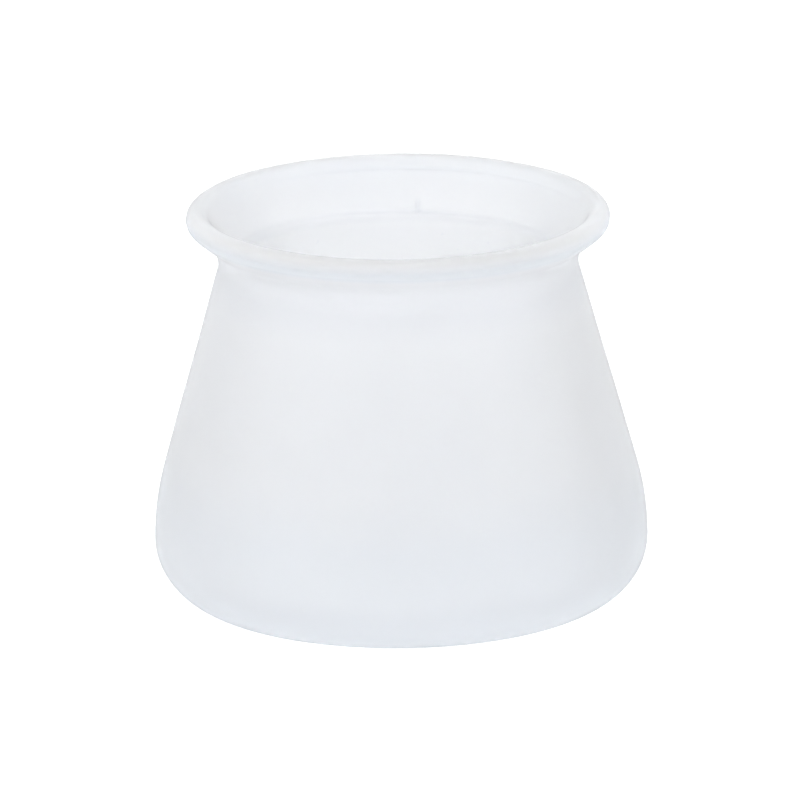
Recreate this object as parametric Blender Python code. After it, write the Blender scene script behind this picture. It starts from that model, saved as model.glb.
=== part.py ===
"""Silicone cupping cup: one soft moulding, modelled as five zones that can move against each other.

Metres, +Z up, mouth up. The origin is the centre of the underside, on the surface that the cup stands on.

The cup is a turned shape. Its wall section is a belt run round a chain of circles, each pair joined
by their common tangent: up the inside from the floor to the throat, over the rounded lip, and down
the outside past the neck, the cone and the belly to the underside. Cuts at four heights divide the
section into zones, and each zone is turned round Z.
"""

import math
from collections import namedtuple

import bpy
from mathutils import Vector

# Driving dimensions.
BELLY_RADIUS = 0.0350
LIP_RADIUS = 0.0300
NECK_RADIUS = 0.0255
THROAT_RADIUS = 0.0230
CUP_HEIGHT = 0.0570
NECK_HEIGHT = 0.0490
THROAT_HEIGHT = 0.0494
WALL = 0.0030

# Radii of the rounded stretches.
HEEL_ROUND = 0.0088
SHOULDER_ROUND = 0.0388
NECK_ROUND = 0.0043
LIP_ROUND = 0.0016
THROAT_ROUND = 0.0030

# The underside stands on a ring round a shallow recess.
RECESS_RADIUS = 0.0150
RECESS_SLOPE = 0.0010
RECESS_DEPTH = 0.0005

# Heights of the cuts between zones, and the gap left at each cut.
BASE_TOP = 0.0040
BELLY_TOP = 0.0150
SIDE_WALL_TOP = 0.0460
NECK_TOP = 0.0520
ZONE_GAP = 0.0003

TURN_STEPS = 72
ARC_STEP = math.radians(15)
MERGE_DISTANCE = 0.00001
COUNTERCLOCKWISE = 1
CLOCKWISE = -1

# The silicone: milky, slightly cool white with a satin skin.
SILICONE_COLOUR = (0.86, 0.88, 0.91, 1.0)
SILICONE_ROUGHNESS = 0.42

Circle = namedtuple("Circle", "centre radius sense")
Zone = namedtuple("Zone", "name bottom top tint")

ZONES = (
    Zone("base", None, BASE_TOP, 0.96),
    Zone("belly", BASE_TOP, BELLY_TOP, 0.98),
    Zone("side_wall", BELLY_TOP, SIDE_WALL_TOP, 1.00),
    Zone("neck", SIDE_WALL_TOP, NECK_TOP, 0.98),
    Zone("sealing_lip", NECK_TOP, None, 1.02),
)
MOUTH_ZONES = ("neck", "sealing_lip")


def clear_scene():
    for obj in list(bpy.data.objects):
        bpy.data.objects.remove(obj, do_unlink=True)


def unit(angle):
    return Vector((math.cos(angle), math.sin(angle)))


def tangent_angle(first, second):
    """Angle of the left-hand normal of the line that leaves one circle and meets the next."""
    across = second.centre - first.centre
    offset = second.sense * second.radius - first.sense * first.radius
    share = max(-1.0, min(1.0, offset / across.length))
    return math.atan2(across.y, across.x) + math.acos(share)


def arc_points(circle, start, end):
    """Points on a circle while the belt's normal turns from start to end, in the circle's sense."""
    turn = (circle.sense * (end - start)) % math.tau
    steps = max(1, math.ceil(turn / ARC_STEP - 1e-6))
    angles = [start + circle.sense * turn * i / steps for i in range(steps + 1)]
    return [circle.centre - circle.sense * circle.radius * unit(a) for a in angles]


def belt(circles, start, end):
    """Points of the belt round the circles, which starts and ends with the given normals."""
    normals = [start]
    normals += [tangent_angle(a, b) for a, b in zip(circles, circles[1:])]
    normals.append(end)
    points = []
    for circle, arriving, leaving in zip(circles, normals, normals[1:]):
        points += arc_points(circle, arriving, leaving)
    return points


def without_repeats(points):
    kept = points[:1]
    for point in points[1:]:
        if (point - kept[-1]).length > MERGE_DISTANCE:
            kept.append(point)
    return kept


def wall_section():
    """The cup's half section as (radius, height) points, from the floor's centre to the underside's."""
    heel_centre = Vector((BELLY_RADIUS - HEEL_ROUND, HEEL_ROUND))
    shoulder_centre = Vector((BELLY_RADIUS - SHOULDER_ROUND, HEEL_ROUND))
    throat_centre = Vector((THROAT_RADIUS + THROAT_ROUND, THROAT_HEIGHT))
    lip_centre = Vector((LIP_RADIUS - LIP_ROUND, CUP_HEIGHT - LIP_ROUND))
    neck_centre = Vector((NECK_RADIUS + NECK_ROUND, NECK_HEIGHT))
    circles = [
        Circle(heel_centre, HEEL_ROUND - WALL, COUNTERCLOCKWISE),
        Circle(shoulder_centre, SHOULDER_ROUND - WALL, COUNTERCLOCKWISE),
        Circle(throat_centre, THROAT_ROUND, CLOCKWISE),
        Circle(lip_centre, LIP_ROUND, CLOCKWISE),
        Circle(neck_centre, NECK_ROUND, COUNTERCLOCKWISE),
        Circle(shoulder_centre, SHOULDER_ROUND, CLOCKWISE),
        Circle(heel_centre, HEEL_ROUND, CLOCKWISE),
    ]
    upward = math.radians(90)
    downward = math.radians(-90)
    floor_centre = Vector((0, WALL))
    underside = [
        Vector((RECESS_RADIUS + RECESS_SLOPE, 0)),
        Vector((RECESS_RADIUS, RECESS_DEPTH)),
        Vector((0, RECESS_DEPTH)),
    ]
    return without_repeats([floor_centre] + belt(circles, upward, downward) + underside)


def clipped(section, height, side):
    """The part of a closed section on one side of a height: side is 1 for above, -1 for below."""
    kept = []
    for point, following in zip(section, section[1:] + section[:1]):
        here = side * (point.y - height)
        there = side * (following.y - height)
        if here >= 0:
            kept.append(point)
        if here * there < 0:
            kept.append(point.lerp(following, here / (here - there)))
    return kept


def zone_section(section, zone):
    if zone.bottom is not None:
        section = clipped(section, zone.bottom + ZONE_GAP / 2, 1)
    if zone.top is not None:
        section = clipped(section, zone.top - ZONE_GAP / 2, -1)
    return section


def silicone(zone):
    material = bpy.data.materials.new("silicone_" + zone.name)
    material.use_nodes = True
    shader = material.node_tree.nodes["Principled BSDF"]
    red, green, blue, alpha = SILICONE_COLOUR
    colour = (red * zone.tint, green * zone.tint, blue * zone.tint, alpha)
    shader.inputs["Base Color"].default_value = colour
    shader.inputs["Roughness"].default_value = SILICONE_ROUGHNESS
    shader.inputs["Metallic"].default_value = 0.0
    material.diffuse_color = colour
    return material


def turned(zone, section):
    """A zone's object: its section turned round Z. A section that reaches the axis stays open there."""
    points = [(point.x, 0, point.y) for point in section]
    edges = [(i, i + 1) for i in range(len(points) - 1)]
    if section[0].x > MERGE_DISTANCE:
        edges.append((len(points) - 1, 0))
    mesh = bpy.data.meshes.new(zone.name)
    mesh.from_pydata(points, edges, [])
    mesh.materials.append(silicone(zone))
    obj = bpy.data.objects.new(zone.name, mesh)
    bpy.context.scene.collection.objects.link(obj)
    screw = obj.modifiers.new("turn", "SCREW")
    screw.axis = "Z"
    screw.angle = math.tau
    screw.steps = TURN_STEPS
    screw.render_steps = TURN_STEPS
    screw.use_merge_vertices = True
    screw.merge_threshold = MERGE_DISTANCE
    screw.use_smooth_shade = True
    return obj


def moving_frame(name):
    """An empty on the cup's axis, which carries the zones that a press moves."""
    empty = bpy.data.objects.new(name, None)
    bpy.context.scene.collection.objects.link(empty)
    return empty


def build_cup():
    section = wall_section()
    mouth = moving_frame("mouth_press_axis")
    for zone in ZONES:
        obj = turned(zone, zone_section(section, zone))
        if zone.name in MOUTH_ZONES:
            obj.parent = mouth


clear_scene()
build_cup()
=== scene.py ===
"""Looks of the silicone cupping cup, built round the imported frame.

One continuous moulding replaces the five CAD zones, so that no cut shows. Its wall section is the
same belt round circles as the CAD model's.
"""

import math
from collections import namedtuple

import bmesh
import bpy
from mathutils import Euler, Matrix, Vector, noise


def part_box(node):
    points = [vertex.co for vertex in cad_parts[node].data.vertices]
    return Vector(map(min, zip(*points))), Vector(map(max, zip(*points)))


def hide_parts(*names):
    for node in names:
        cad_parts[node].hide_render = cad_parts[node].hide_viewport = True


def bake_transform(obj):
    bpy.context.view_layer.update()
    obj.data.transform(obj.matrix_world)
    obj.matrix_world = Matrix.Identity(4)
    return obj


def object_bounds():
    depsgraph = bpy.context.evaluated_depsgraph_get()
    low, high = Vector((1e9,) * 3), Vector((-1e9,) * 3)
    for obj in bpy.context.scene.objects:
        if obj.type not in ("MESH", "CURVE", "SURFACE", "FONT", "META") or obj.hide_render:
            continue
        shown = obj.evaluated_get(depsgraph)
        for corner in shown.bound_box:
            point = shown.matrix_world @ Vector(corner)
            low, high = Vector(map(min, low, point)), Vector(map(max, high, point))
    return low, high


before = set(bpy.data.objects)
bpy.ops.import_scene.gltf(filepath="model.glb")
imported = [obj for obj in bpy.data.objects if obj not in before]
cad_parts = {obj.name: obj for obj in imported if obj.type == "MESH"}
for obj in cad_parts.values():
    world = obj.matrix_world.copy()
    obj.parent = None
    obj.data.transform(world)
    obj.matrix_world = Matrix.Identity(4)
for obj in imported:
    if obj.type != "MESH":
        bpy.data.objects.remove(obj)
cad_low, cad_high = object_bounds()

# Sizes read from the frame.
BELLY_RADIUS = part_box("belly")[1].x
LIP_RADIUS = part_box("sealing_lip")[1].x
CUP_HEIGHT = cad_high.z

# The moulding's own sizes, in metres.
WALL = 0.0030
NECK_RADIUS = 0.0255
NECK_HEIGHT = 0.0490
THROAT_RADIUS = 0.0230
THROAT_HEIGHT = 0.0494
HEEL_ROUND = 0.0088
SHOULDER_ROUND = 0.0388
NECK_ROUND = 0.0043
LIP_ROUND = 0.0016
THROAT_ROUND = 0.0030
RECESS_RADIUS = 0.0150
RECESS_SLOPE = 0.0010
RECESS_DEPTH = 0.0005

# Marks that the mould leaves: a parting ridge round the lip, fine grooves under the lip bead and round
# the throat, a nib of flash that stands on the throat's groove, and the stub of the gate underneath.
# Both grooves are deepest at the nib and fade away from it.
PARTING_HEIGHT = 0.00006
PARTING_WIDTH = 0.00010
BEAD_GROOVE_DEPTH = 0.00010
BEAD_GROOVE_WIDTH = 0.00028
BEAD_GROOVE_DROP = 0.0011
THROAT_GROOVE_DEPTH = 0.00016
THROAT_GROOVE_WIDTH = 0.00030
THROAT_GROOVE_NORMAL = math.radians(171)
THROAT_GROOVE_DRIFT = 0.0002
THROAT_GROOVE_LEAST = 0.2
GROOVE_FADE = math.radians(38)
NIB_AZIMUTH = math.radians(83)
NIB_HEIGHT = 0.00035
NIB_WIDTH = 0.00045
NIB_LENGTH = 0.0020
GATE_RADIUS = 0.0012
GATE_EDGE = 0.0003
GATE_HEIGHT = 0.00030

# The skin's slow unevenness, which is none where the cup stands, and how ragged the marks are.
UNEVEN_DEPTH = 0.00006
UNEVEN_LENGTH = 0.011
UNEVEN_START = 0.004
RAGGED_MEAN = 0.65
RAGGED_SWING = 0.35
RAGGED_LENGTH = 0.0025

# How much painted shade a mark puts in its creases, beside the throat's groove, which has 1.
PARTING_SHADE = 0.3
BEAD_SHADE = 0.5
NIB_SHADE = 0.9

# Mesh density. The azimuths crowd together at the nib, which is narrow.
AZIMUTHS = 300
CROWDING = 0.6
FINE_STEP = 0.00003
COARSE_SPACING = 0.0012
ROUND_SPACING = 0.0003
ROUND_FACET = math.radians(4)
EDGE_SPACING = GATE_EDGE / 4
MARK_SPACING = 0.00008
MARK_REACH = 0.0008

# Bands in which one tone of painted light or shade fades into the next, from where it starts to where it
# is full. The first five are read off the outward normal, as its part up less its part out, its part up
# in the two UNDER bands, and its part out from the axis in the two RIM bands. The others are heights.
INTO_CUP = (-0.7, 0.7)
BELLY_UNDER = (0.1, -0.8)
BEAD_UNDER = (0.45, -0.45)
RIM_FROM_INSIDE = (-0.45, -0.15)
RIM_FROM_OUTSIDE = (1.05, 0.60)
BEAD_HEIGHTS = (CUP_HEIGHT - 2.1 * LIP_ROUND, CUP_HEIGHT - 1.7 * LIP_ROUND)
RIM_HEIGHTS = (CUP_HEIGHT - 2 * LIP_ROUND, CUP_HEIGHT - LIP_ROUND)
HEEL_HEIGHTS = (0.014, 0.024)
NECK_HEIGHTS = (0.043, 0.048)
CHAMBER_HEIGHTS = (THROAT_HEIGHT - 0.0015, THROAT_HEIGHT)
LIP_HEIGHTS = (NECK_HEIGHT, NECK_HEIGHT + 0.004)

COUNTERCLOCKWISE = 1
CLOCKWISE = -1

# Points and normals of the section are (out from the axis, up). A sample's last three values are how far
# along the section it lies from the parting ridge, the bead's groove and the throat's groove.
Circle = namedtuple("Circle", "centre radius sense")
Sample = namedtuple("Sample", "point normal parting bead throat")


def smooth(value):
    value = max(0.0, min(1.0, value))
    return value * value * (3 - 2 * value)


def fade(value, start, full):
    """0 up to start, 1 from full on, and a smooth step between them. Full may lie below start."""
    return smooth((value - start) / (full - start))


def unit(angle):
    return Vector((math.cos(angle), math.sin(angle)))


# ---------------------------------------------------------------- wall section


def tangent_angle(first, second):
    """Angle of the left-hand normal of the line that leaves one circle and meets the next."""
    across = second.centre - first.centre
    offset = second.sense * second.radius - first.sense * first.radius
    share = max(-1.0, min(1.0, offset / across.length))
    return math.atan2(across.y, across.x) + math.acos(share)


def straight(start, end, angle):
    """Fine points from start to end, all with the same outward normal."""
    count = max(1, math.ceil((end - start).length / FINE_STEP))
    normal = unit(angle)
    return [(start.lerp(end, i / count), normal, COARSE_SPACING) for i in range(count + 1)]


def arc(circle, start, end):
    """Fine points round a circle while the outward normal turns from start to end."""
    turn = (circle.sense * (end - start)) % math.tau
    count = max(1, math.ceil(turn * circle.radius / FINE_STEP))
    spacing = min(COARSE_SPACING, max(ROUND_SPACING, circle.radius * ROUND_FACET))
    points = []
    for i in range(count + 1):
        normal = unit(start + circle.sense * turn * i / count)
        points.append((circle.centre - circle.sense * circle.radius * normal, normal, spacing))
    return points


def belt(circles, start, end):
    """Fine points of the belt round the circles, which starts and ends with the given normals."""
    normals = [start]
    normals += [tangent_angle(a, b) for a, b in zip(circles, circles[1:])]
    normals.append(end)
    points = []
    for circle, arriving, leaving in zip(circles, normals, normals[1:]):
        turned = arc(circle, arriving, leaving)
        if points:
            points += straight(points[-1][0], turned[0][0], arriving)
        points += turned
    return points


def underside():
    """Fine points from the heel to the axis, over the standing ring, the recess and the gate's stub."""
    start = BELLY_RADIUS - HEEL_ROUND
    count = math.ceil(start / FINE_STEP)
    down = Vector((0, -1))
    points = []
    for i in range(count + 1):
        radius = start * (1 - i / count)
        recess = RECESS_DEPTH * fade(radius, RECESS_RADIUS + RECESS_SLOPE, RECESS_RADIUS)
        gate = GATE_HEIGHT * fade(radius, GATE_RADIUS + GATE_EDGE, GATE_RADIUS)
        rounded = radius < 3 * GATE_RADIUS or abs(radius - RECESS_RADIUS) < 2 * RECESS_SLOPE
        spacing = EDGE_SPACING if rounded else COARSE_SPACING
        points.append((Vector((radius, recess - gate)), down, spacing))
    return points


def wall_section():
    """Samples of the half section, from the floor's centre up the inside and down the outside."""
    heel_centre = Vector((BELLY_RADIUS - HEEL_ROUND, HEEL_ROUND))
    shoulder_centre = Vector((BELLY_RADIUS - SHOULDER_ROUND, HEEL_ROUND))
    throat_centre = Vector((THROAT_RADIUS + THROAT_ROUND, THROAT_HEIGHT))
    lip_centre = Vector((LIP_RADIUS - LIP_ROUND, CUP_HEIGHT - LIP_ROUND))
    neck_centre = Vector((NECK_RADIUS + NECK_ROUND, NECK_HEIGHT))
    throat = Circle(throat_centre, THROAT_ROUND, CLOCKWISE)
    lip = Circle(lip_centre, LIP_ROUND, CLOCKWISE)
    circles = [
        Circle(heel_centre, HEEL_ROUND - WALL, COUNTERCLOCKWISE),
        Circle(shoulder_centre, SHOULDER_ROUND - WALL, COUNTERCLOCKWISE),
        throat,
        lip,
        Circle(neck_centre, NECK_ROUND, COUNTERCLOCKWISE),
        Circle(shoulder_centre, SHOULDER_ROUND, CLOCKWISE),
        Circle(heel_centre, HEEL_ROUND, CLOCKWISE),
    ]
    upward = math.radians(90)
    downward = math.radians(-90)
    floor = straight(Vector((0, WALL)), Vector((heel_centre.x, WALL)), upward)
    fine = floor + belt(circles, upward, downward) + underside()
    funnel_normal = tangent_angle(throat, lip)
    funnel_top = lip_centre + LIP_ROUND * unit(funnel_normal)
    down_funnel = unit(funnel_normal + math.radians(90))
    parting_point = lip_centre + Vector((LIP_ROUND, 0))
    bead_point = funnel_top + BEAD_GROOVE_DROP * down_funnel
    throat_point = throat_centre + THROAT_ROUND * unit(THROAT_GROOVE_NORMAL)
    return marked(fine, parting_point, bead_point, throat_point)


def nearest(points, place):
    """How far along the section the point nearest to a place lies."""
    return min(points, key=lambda entry: (entry[1] - place).length)[0]


def marked(fine, *places):
    """Thins the fine points, least near the mould's marks, and gives each its way along to every mark."""
    travelled = 0.0
    points = []
    for i, (point, normal, spacing) in enumerate(fine):
        if i:
            travelled += (point - fine[i - 1][0]).length
        points.append((travelled, point, normal, spacing))
    marks = [nearest(points, place) for place in places]
    samples = []
    kept_at = -1.0
    for travelled, point, normal, spacing in points:
        along = [travelled - mark for mark in marks]
        if min(map(abs, along)) < MARK_REACH:
            spacing = MARK_SPACING
        last = travelled == points[-1][0]
        if last or travelled - kept_at >= spacing:
            samples.append(Sample(point, normal, *along))
            kept_at = travelled
    return samples


# ---------------------------------------------------------------- moulding mesh


def ripple(place, length, depth):
    """Smooth unevenness of a soft moulding, the same at each run."""
    return depth * noise.noise(place / length)


def bell(distance, width):
    return math.exp(-((distance / width) ** 2))


def relief(sample, azimuth, place):
    """How far the skin stands out of the ideal section, and how much painted shade a mark puts in its
    creases.
    """
    height = ripple(place, UNEVEN_LENGTH, UNEVEN_DEPTH) * fade(place.z, 0, UNEVEN_START)
    ragged = RAGGED_MEAN + ripple(place, RAGGED_LENGTH, RAGGED_SWING)
    from_nib = abs((azimuth - NIB_AZIMUTH + math.pi) % math.tau - math.pi)
    sharpest = bell(from_nib, GROOVE_FADE)

    parting = bell(sample.parting, PARTING_WIDTH) * ragged
    height += PARTING_HEIGHT * parting

    bead = bell(sample.bead, BEAD_GROOVE_WIDTH) * sharpest
    height -= BEAD_GROOVE_DEPTH * bead

    drift = THROAT_GROOVE_DRIFT * math.cos(azimuth)
    depth = THROAT_GROOVE_LEAST + (1 - THROAT_GROOVE_LEAST) * sharpest
    throat = bell(sample.throat + drift, THROAT_GROOVE_WIDTH) * depth * ragged
    height -= THROAT_GROOVE_DEPTH * throat

    end = NIB_WIDTH / 2
    foot = fade(sample.throat, -end, end)
    tip = fade(sample.throat, NIB_LENGTH + end, NIB_LENGTH - end)
    nib = foot * tip * bell(from_nib * THROAT_RADIUS, NIB_WIDTH)
    height += NIB_HEIGHT * nib

    # Painted shade in the creases of the parting ridge, the grooves and the nib.
    crease_shade = PARTING_SHADE * parting + BEAD_SHADE * bead + throat + NIB_SHADE * nib
    return height, min(1.0, crease_shade)


def light_side(sample):
    """1 on the surfaces that face into the cup or up, 0 on those that face out or down. It sets painted
    light into the cup against painted shade on the outer skin.
    """
    return fade(sample.normal.y - sample.normal.x, *INTO_CUP)


def under_shade_mask(sample):
    """1 on the outer face of the lip's bead and where the belly turns down toward the floor, 0 elsewhere:
    where painted shade goes.
    """
    if sample.point.y < CUP_HEIGHT / 2:
        return fade(sample.normal.y, *BELLY_UNDER) * (1 - light_side(sample))
    return fade(sample.normal.y, *BEAD_UNDER) * fade(sample.point.y, *BEAD_HEIGHTS)


def rim_highlight_mask(sample):
    """1 on the top of the lip, fading to 0 down the lip's side into the cup and its side out of it: where
    a painted highlight goes.
    """
    top = fade(sample.normal.x, *RIM_FROM_INSIDE) * fade(sample.normal.x, *RIM_FROM_OUTSIDE)
    return top * fade(sample.point.y, *RIM_HEIGHTS)


# Masks for painted light inside the cup, painted shade under the lip bead and the belly, and a painted
# highlight on the lip's top.
PAINTED_LIGHT_AND_SHADE_MASKS = {"inner_light": light_side, "under_shade": under_shade_mask, "rim_highlight": rim_highlight_mask}


def azimuths():
    steps = [math.tau * i / AZIMUTHS for i in range(AZIMUTHS)]
    return [NIB_AZIMUTH + step - CROWDING * math.sin(step) for step in steps]


def new_layers(bm):
    """What the material needs at each point: its place at rest, the painted shade in its creases, and its
    masks of painted light and shade.
    """
    layers = {"rest": bm.verts.layers.float_vector.new("rest")}
    for name in ("crease_shade", *PAINTED_LIGHT_AND_SHADE_MASKS):
        layers[name] = bm.verts.layers.float.new(name)
    return layers


def add_ring(bm, layers, sample, turns):
    """The vertices that one sample makes round the axis: a single one where it lies on the axis."""
    on_axis = sample.point.x < FINE_STEP
    ring = []
    for azimuth in turns[:1] if on_axis else turns:
        around = Vector((math.cos(azimuth), math.sin(azimuth), 0))
        place = around * sample.point.x + Vector((0, 0, sample.point.y))
        outward = around * sample.normal.x + Vector((0, 0, sample.normal.y))
        height, crease_shade = relief(sample, azimuth, place)
        vertex = bm.verts.new(place + outward * height)
        vertex[layers["rest"]] = place
        vertex[layers["crease_shade"]] = crease_shade
        for name, tone in PAINTED_LIGHT_AND_SHADE_MASKS.items():
            vertex[layers[name]] = tone(sample)
        ring.append(vertex)
    return ring


def join_rings(bm, first, second):
    """Faces between two rings: four-sided, or triangles where one ring is a single vertex."""
    for j in range(AZIMUTHS):
        k = (j + 1) % AZIMUTHS
        near = [first[j % len(first)], first[k % len(first)]]
        far = [second[k % len(second)], second[j % len(second)]]
        bm.faces.new(list(dict.fromkeys(near + far)))


def build_moulding():
    """The whole cup as one closed turned mesh."""
    mesh = bpy.data.meshes.new("cup_moulding")
    bm = bmesh.new()
    layers = new_layers(bm)
    turns = azimuths()
    rings = [add_ring(bm, layers, sample, turns) for sample in wall_section()]
    for first, second in zip(rings, rings[1:]):
        join_rings(bm, first, second)
    bmesh.ops.recalc_face_normals(bm, faces=bm.faces)
    bm.to_mesh(mesh)
    bm.free()
    mesh.shade_smooth()
    moulding = bpy.data.objects.new("cup_moulding", mesh)
    bpy.context.scene.collection.objects.link(moulding)
    return moulding


# ---------------------------------------------------------------- shader nodes


def new_material(name):
    material = bpy.data.materials.new(name)
    material.use_nodes = True
    tree = material.node_tree
    return material, tree, tree.nodes["Principled BSDF"]


def noise_node(tree, vector, scale, detail):
    node = tree.nodes.new("ShaderNodeTexNoise")
    node.inputs["Scale"].default_value = scale
    node.inputs["Detail"].default_value = detail
    tree.links.new(vector, node.inputs["Vector"])
    return node.outputs["Fac"]


def remap(tree, value, source, target):
    """Carries the source band over to the target band in a smooth step."""
    node = tree.nodes.new("ShaderNodeMapRange")
    node.interpolation_type = "SMOOTHSTEP"
    names = ("From Min", "From Max", "To Min", "To Max")
    for name, number in zip(names, (*source, *target)):
        node.inputs[name].default_value = number
    tree.links.new(value, node.inputs["Value"])
    return node.outputs["Result"]


def mix_colours(tree, factor, first, second):
    node = tree.nodes.new("ShaderNodeMix")
    node.data_type = "RGBA"
    tree.links.new(factor, node.inputs["Factor"])
    for socket, colour in ((node.inputs["A"], first), (node.inputs["B"], second)):
        if isinstance(colour, tuple):
            socket.default_value = (*colour, 1.0)
        else:
            tree.links.new(colour, socket)
    return node.outputs["Result"]


def arithmetic(tree, operation, first, second):
    node = tree.nodes.new("ShaderNodeMath")
    node.operation = operation
    for socket, value in zip(node.inputs, (first, second)):
        if isinstance(value, (int, float)):
            socket.default_value = value
        else:
            tree.links.new(value, socket)
    return node.outputs["Value"]


def attribute(tree, name, output="Fac"):
    node = tree.nodes.new("ShaderNodeAttribute")
    node.attribute_name = name
    return node.outputs[output]


def bump(tree, height, distance, below=None):
    node = tree.nodes.new("ShaderNodeBump")
    node.inputs["Strength"].default_value = BUMP_STRENGTH
    node.inputs["Distance"].default_value = distance
    tree.links.new(height, node.inputs["Height"])
    if below is not None:
        tree.links.new(below, node.inputs["Normal"])
    return node.outputs["Normal"]


# ---------------------------------------------------------------- materials

WALL_COLOUR = (0.884, 0.901, 0.932)
# Painted shade on the outer skin: darker and bluer at the heel, at the neck, where the belly turns under
# and on the lip bead's outer face.
HEEL_SHADE_COLOUR = (0.850, 0.881, 0.928)
NECK_SHADE_COLOUR = (0.838, 0.856, 0.892)
UNDER_SHADE_COLOUR = (0.800, 0.834, 0.884)
BEAD_FACE_SHADE_COLOUR = (0.740, 0.788, 0.850)
# Painted highlight on the top of the lip.
RIM_HIGHLIGHT_COLOUR = (0.988, 0.994, 1.000)
# Painted light inside the cup: the funnel lighter than the outer wall, and the chamber below the throat
# lightest.
FUNNEL_LIGHT_COLOUR = (0.918, 0.926, 0.937)
CHAMBER_LIGHT_COLOUR = (0.998, 0.998, 0.995)
CLOUD_COLOUR = (0.850, 0.875, 0.925)
SPECK_COLOUR = (0.860, 0.880, 0.920)
# Painted shade in the creases of the mould's marks.
CREASE_SHADE_COLOUR = (0.800, 0.815, 0.840)
CREASE_SHADE_STRENGTH = 0.65

# Noise, as its scale, its detail, the band of it that is used, and what that band becomes.
NoiseShape = namedtuple("NoiseShape", "scale detail band result")
CLOUDS = NoiseShape(55, 2.0, (0.35, 0.65), (0.0, 0.15))
SPECKS = NoiseShape(900, 1.0, (0.74, 0.80), (0.0, 0.35))
HANDLED = NoiseShape(120, 3.0, (0.3, 0.7), (-0.05, 0.06))
MOTTLE = NoiseShape(3, 3.0, (0.3, 0.7), (0.0, 1.0))

SKIN_ROUGHNESS = 0.78
LIP_EXTRA_ROUGHNESS = 0.18
BUMP_STRENGTH = 0.10
GRAIN_SCALE = 5200
GRAIN_DEPTH = 0.00004
ORANGE_PEEL_SCALE = 700
ORANGE_PEEL_DEPTH = 0.00012
BUMP_DETAIL = 2.0

SILICONE_IOR = 1.37
SILICONE_SPECULAR = 0.25
SILICONE_TRANSMISSION = 0.49
SCATTER_DISTANCE = 0.006

TABLE_COLOUR = (0.395, 0.400, 0.405)
TABLE_MOTTLE_COLOUR = (0.400, 0.400, 0.400)
TABLE_ROUGHNESS = 0.9
TABLE_GLOW = 0.77
WHITE = (1.0, 1.0, 1.0)


def shaped_noise(tree, vector, shape):
    return remap(tree, noise_node(tree, vector, shape.scale, shape.detail), shape.band, shape.result)


def silicone_colour_and_painted_light(tree, rest, height):
    """Painted shade, darker and bluer at the heel, the neck, where the belly turns down and on the bead's
    outer face; painted light in the funnel and chamber and a painted highlight on the lip's top; then
    clouds, specks and painted shade in creases.
    """
    at_heel = remap(tree, height, HEEL_HEIGHTS, (1.0, 0.0))
    at_neck = remap(tree, height, NECK_HEIGHTS, (0.0, 1.0))
    in_chamber = remap(tree, height, CHAMBER_HEIGHTS, (1.0, 0.0))
    # Painted shade on the outer skin at the heel, the neck, where the belly turns under and on the bead's
    # outer face.
    heel_shaded_walls = mix_colours(tree, at_heel, WALL_COLOUR, HEEL_SHADE_COLOUR)
    neck_shaded_walls = mix_colours(tree, at_neck, heel_shaded_walls, NECK_SHADE_COLOUR)
    turned = mix_colours(tree, at_neck, UNDER_SHADE_COLOUR, BEAD_FACE_SHADE_COLOUR)
    shaded_outer_skin = mix_colours(tree, attribute(tree, "under_shade"), neck_shaded_walls, turned)
    # Painted light inside the cup, lightest in the chamber below the throat.
    lit_inner_skin = mix_colours(tree, in_chamber, FUNNEL_LIGHT_COLOUR, CHAMBER_LIGHT_COLOUR)
    lit_and_shaded_sides = mix_colours(tree, attribute(tree, "inner_light"), shaded_outer_skin, lit_inner_skin)
    # Painted highlight on the top of the lip.
    rim_highlighted = mix_colours(tree, attribute(tree, "rim_highlight"), lit_and_shaded_sides, RIM_HIGHLIGHT_COLOUR)
    clouded = mix_colours(tree, shaped_noise(tree, rest, CLOUDS), rim_highlighted, CLOUD_COLOUR)
    specked = mix_colours(tree, shaped_noise(tree, rest, SPECKS), clouded, SPECK_COLOUR)
    # Painted shade in the creases of the mould's marks.
    crease_shade_amount = arithmetic(tree, "MULTIPLY", attribute(tree, "crease_shade"), CREASE_SHADE_STRENGTH)
    return mix_colours(tree, crease_shade_amount, specked, CREASE_SHADE_COLOUR)


def silicone_roughness(tree, rest, height):
    """A matt skin, uneven from handling, and most matt on the lip."""
    skin = arithmetic(tree, "ADD", shaped_noise(tree, rest, HANDLED), SKIN_ROUGHNESS)
    lip = remap(tree, height, LIP_HEIGHTS, (0.0, 1.0))
    matt_lip = arithmetic(tree, "MULTIPLY", lip, LIP_EXTRA_ROUGHNESS)
    return arithmetic(tree, "ADD", skin, matt_lip)


def silicone_skin(tree, rest):
    """The mould's fine grain, over a wider orange peel."""
    grain = bump(tree, noise_node(tree, rest, GRAIN_SCALE, BUMP_DETAIL), GRAIN_DEPTH)
    orange_peel = noise_node(tree, rest, ORANGE_PEEL_SCALE, BUMP_DETAIL)
    return bump(tree, orange_peel, ORANGE_PEEL_DEPTH, grain)


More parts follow.
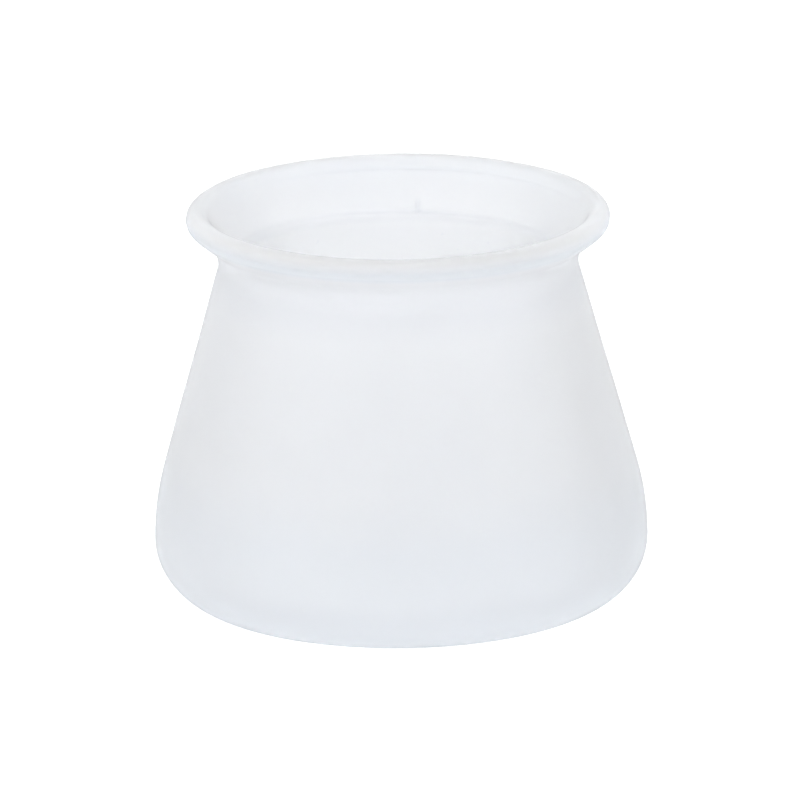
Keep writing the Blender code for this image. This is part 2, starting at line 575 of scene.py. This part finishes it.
def silicone_material():
    """Milky translucent silicone."""
    material, tree, shader = new_material("silicone_milky")
    rest = attribute(tree, "rest", "Vector")
    place = tree.nodes.new("ShaderNodeSeparateXYZ")
    tree.links.new(rest, place.inputs["Vector"])
    height = place.outputs["Z"]
    tree.links.new(silicone_colour_and_painted_light(tree, rest, height), shader.inputs["Base Color"])
    tree.links.new(silicone_roughness(tree, rest, height), shader.inputs["Roughness"])
    tree.links.new(silicone_skin(tree, rest), shader.inputs["Normal"])
    shader.inputs["IOR"].default_value = SILICONE_IOR
    shader.inputs["Specular IOR Level"].default_value = SILICONE_SPECULAR
    shader.inputs["Transmission Weight"].default_value = SILICONE_TRANSMISSION
    shader.inputs["Subsurface Weight"].default_value = 1.0
    shader.inputs["Subsurface Radius"].default_value = (1.0, 1.0, 1.0)
    shader.inputs["Subsurface Scale"].default_value = SCATTER_DISTANCE
    return material


def floor_material():
    """A plain white light table: mostly its own light, with a little of the room's."""
    material, tree, shader = new_material("white_table")
    rest = tree.nodes.new("ShaderNodeTexCoord").outputs["Object"]
    colour = mix_colours(tree, shaped_noise(tree, rest, MOTTLE), TABLE_COLOUR, TABLE_MOTTLE_COLOUR)
    tree.links.new(colour, shader.inputs["Base Color"])
    shader.inputs["Roughness"].default_value = TABLE_ROUGHNESS
    shader.inputs["Specular IOR Level"].default_value = 0.0
    shader.inputs["Emission Color"].default_value = (*WHITE, 1.0)
    shader.inputs["Emission Strength"].default_value = TABLE_GLOW
    return material


# ---------------------------------------------------------------- studio

FLOOR_HALF_SIZE = 12.0
ROOM_BRIGHTNESS = 0.71
SOFTBOX_DISTANCE = 1.2
SOFTBOX_SIZE = 0.9
CAMERA_DISTANCE = 2.5
CAMERA_ELEVATION = math.radians(15.95)
CAMERA_ROLL = math.radians(-0.6)
CAMERA_LENS = 793
CAMERA_CLIP = (0.1, 50)

# Angles are in degrees: azimuth 0 is the camera's side, and 90 the cup's side on the camera's left.
Softbox = namedtuple("Softbox", "name azimuth elevation power")
SOFTBOXES = (
    Softbox("front_softbox", 0, 30, 3.0),
    Softbox("left_softbox", 90, 25, 3.3),
    Softbox("right_softbox", -90, 25, 2.5),
    Softbox("back_softbox", 180, 35, 4.3),
)


def add_floor():
    half = FLOOR_HALF_SIZE
    mesh = bpy.data.meshes.new("floor")
    corners = [(-half, -half, 0), (half, -half, 0), (half, half, 0), (-half, half, 0)]
    mesh.from_pydata(corners, [], [(0, 1, 2, 3)])
    mesh.materials.append(floor_material())
    floor = bpy.data.objects.new("floor", mesh)
    bpy.context.scene.collection.objects.link(floor)


def add_softbox(softbox):
    """A square soft light that faces the cup."""
    turn = math.radians(softbox.azimuth)
    rise = math.radians(softbox.elevation)
    out = Vector((-math.sin(turn) * math.cos(rise), -math.cos(turn) * math.cos(rise), math.sin(rise)))
    lamp = bpy.data.lights.new(softbox.name, "AREA")
    lamp.size = SOFTBOX_SIZE
    lamp.energy = softbox.power
    box = bpy.data.objects.new(softbox.name, lamp)
    box.location = out * SOFTBOX_DISTANCE + Vector((0, 0, CUP_HEIGHT / 2))
    box.rotation_euler = out.to_track_quat("Z", "Y").to_euler()
    bpy.context.scene.collection.objects.link(box)


def add_room():
    world = bpy.data.worlds.new("studio")
    world.use_nodes = True
    background = world.node_tree.nodes["Background"]
    background.inputs["Color"].default_value = (*WHITE, 1.0)
    background.inputs["Strength"].default_value = ROOM_BRIGHTNESS
    bpy.context.scene.world = world


def add_camera():
    camera = bpy.data.cameras.new("camera")
    camera.lens = CAMERA_LENS
    camera.clip_start, camera.clip_end = CAMERA_CLIP
    back = Vector((0, -math.cos(CAMERA_ELEVATION), math.sin(CAMERA_ELEVATION)))
    obj = bpy.data.objects.new("camera", camera)
    obj.location = back * CAMERA_DISTANCE + Vector((0, 0, CUP_HEIGHT / 2))
    aim = back.to_track_quat("Z", "Y")
    obj.rotation_euler = (aim @ Euler((0, 0, CAMERA_ROLL)).to_quaternion()).to_euler()
    bpy.context.scene.collection.objects.link(obj)
    bpy.context.scene.camera = obj


def light_studio():
    add_room()
    for softbox in SOFTBOXES:
        add_softbox(softbox)
    bpy.context.scene.view_settings.view_transform = "Standard"


def main():
    add_camera()
    moulding = build_moulding()
    moulding.data.materials.append(silicone_material())
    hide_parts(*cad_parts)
    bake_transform(moulding)
    add_floor()
    light_studio()


main()
